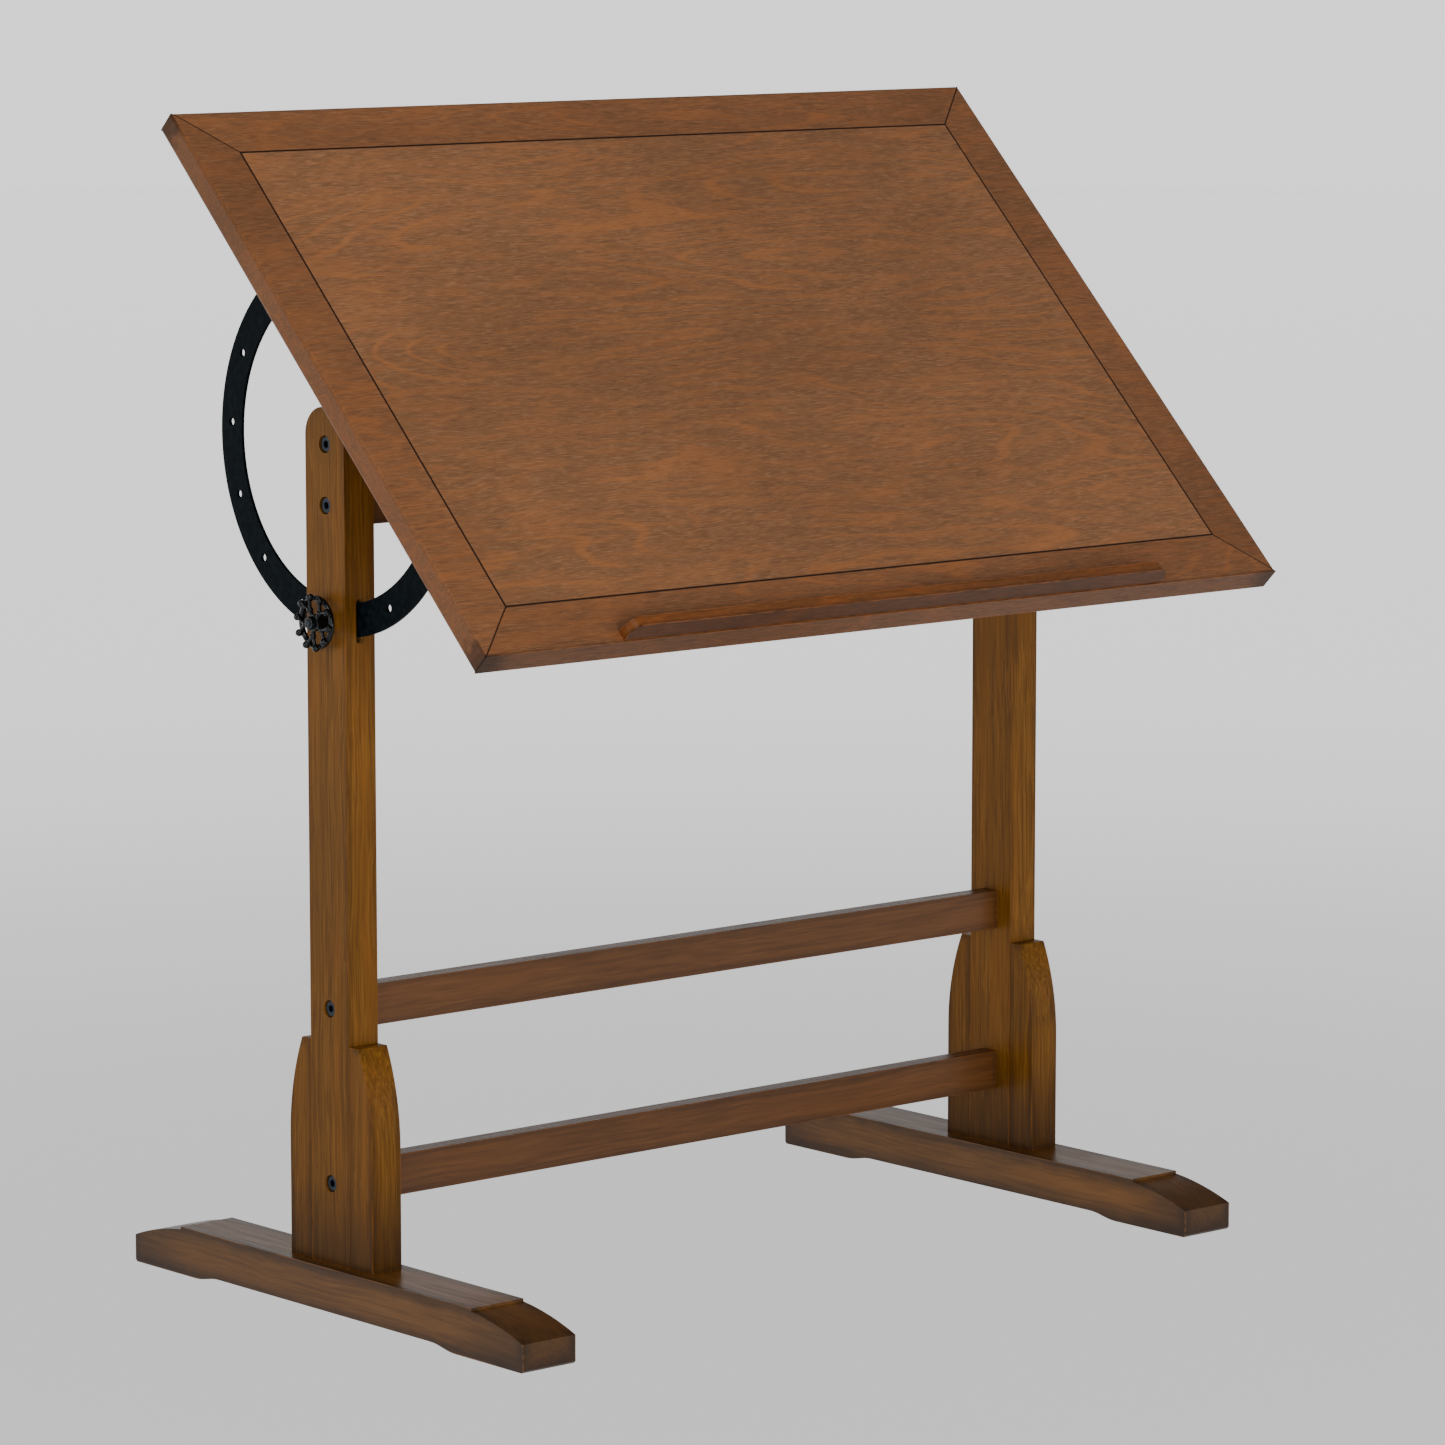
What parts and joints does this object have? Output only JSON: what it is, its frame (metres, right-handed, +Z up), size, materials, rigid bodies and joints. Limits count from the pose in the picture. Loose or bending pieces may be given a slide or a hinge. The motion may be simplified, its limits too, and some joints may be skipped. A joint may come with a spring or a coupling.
{
  "type": "drafting table",
  "caption": "Wooden drafting table with a mitred top that tilts on posts, held by drilled steel arcs and handwheel clamps.",
  "frame": {"origin": "on the floor, under the middle of the whole table's box at its rest tilt of 45 degrees", "axes": "+X along the width to the user's right, +Y from the user to the back, +Z up"},
  "size_m": [0.9144, 0.5696, 1.0268],
  "materials": {
    "post_wood": "satin lacquered golden brown hardwood, grain along the post",
    "foot_wood": "satin lacquered dark brown hardwood, darker at the ends and edges",
    "rail_wood": "satin lacquered reddish brown hardwood",
    "top_wood": "satin lacquered brown birch veneer, fine wavy grain across the width",
    "border_wood": "satin lacquered brown birch",
    "raw_wood": "unfinished pale hardwood",
    "black_bolt": "black oxide steel, satin",
    "zinc_steel": "zinc plated steel",
    "brass": "turned brass",
    "black_arc": "black powder coated steel plate, satin",
    "black_wheel": "cast iron with glossy black paint"
  },
  "bodies": {
    "frame": {"left_foot": "foot_wood", "right_foot": "foot_wood", "left_post": "post_wood", "right_post": "post_wood", "left_front_wing": "post_wood", "left_back_wing": "post_wood", "right_front_wing": "post_wood", "right_back_wing": "post_wood", "top_rail": "rail_wood", "middle_rail": "rail_wood", "lower_rail": "rail_wood", "rail_bolts": "black_bolt", "rail_barrel_nuts": "zinc_steel", "rail_dowels": "raw_wood", "foot_bolts": "zinc_steel", "foot_washers": "zinc_steel", "wing_screws": "zinc_steel", "left_pivot_bolt": "black_bolt", "right_pivot_bolt": "black_bolt", "left_pivot_washers": "zinc_steel", "right_pivot_washers": "zinc_steel", "left_pivot_nut": "zinc_steel", "right_pivot_nut": "zinc_steel", "left_clamp_insert": "brass", "right_clamp_insert": "brass"},
    "top": {"centre_panel": "top_wood", "front_border": "border_wood", "back_border": "border_wood", "left_border": "border_wood", "right_border": "border_wood", "border_splines": "raw_wood", "pencil_ledge": "border_wood", "ledge_screws": "zinc_steel", "left_tilt_cheek": "rail_wood", "right_tilt_cheek": "rail_wood", "cheek_screws": "zinc_steel", "left_tilt_arc": "black_arc", "right_tilt_arc": "black_arc", "arc_screws": "zinc_steel", "left_pivot_bush": "brass", "right_pivot_bush": "brass"},
    "left_clamp_travel": {"left_clamp_washer": "black_bolt"},
    "left_clamp": {"left_handwheel": "black_wheel", "left_clamp_screw": "black_bolt", "left_wheel_nut": "black_wheel"},
    "right_clamp_travel": {"right_clamp_washer": "black_bolt"},
    "right_clamp": {"right_handwheel": "black_wheel", "right_clamp_screw": "black_bolt", "right_wheel_nut": "black_wheel"}
  },
  "joints": [
    {"name": "tilt", "type": "hinge", "parent": "frame", "child": "top", "pos_m": [0, 0.01079, 0.751], "axis": [1, 0, 0], "range_deg": [-45, 45]},
    {"name": "left_clamp_slide", "type": "slide", "parent": "frame", "child": "left_clamp_travel", "axis": [-1, 0, 0], "range_m": [0, 0.004]},
    {"name": "left_clamp_turn", "type": "hinge", "parent": "left_clamp_travel", "child": "left_clamp", "pos_m": [-0.4142, 0.01079, 0.6003], "axis": [-1, 0, 0], "range_deg": [0, 1440]},
    {"name": "right_clamp_slide", "type": "slide", "parent": "frame", "child": "right_clamp_travel", "axis": [1, 0, 0], "range_m": [0, 0.004]},
    {"name": "right_clamp_turn", "type": "hinge", "parent": "right_clamp_travel", "child": "right_clamp", "pos_m": [0.4142, 0.01079, 0.6003], "axis": [1, 0, 0], "range_deg": [0, 1440]}
  ],
  "couplings": [
    {"joint": "left_clamp_slide", "follows": "left_clamp_turn", "m_per_rad": 0.00015915},
    {"joint": "right_clamp_slide", "follows": "right_clamp_turn", "m_per_rad": 0.00015915}
  ]
}
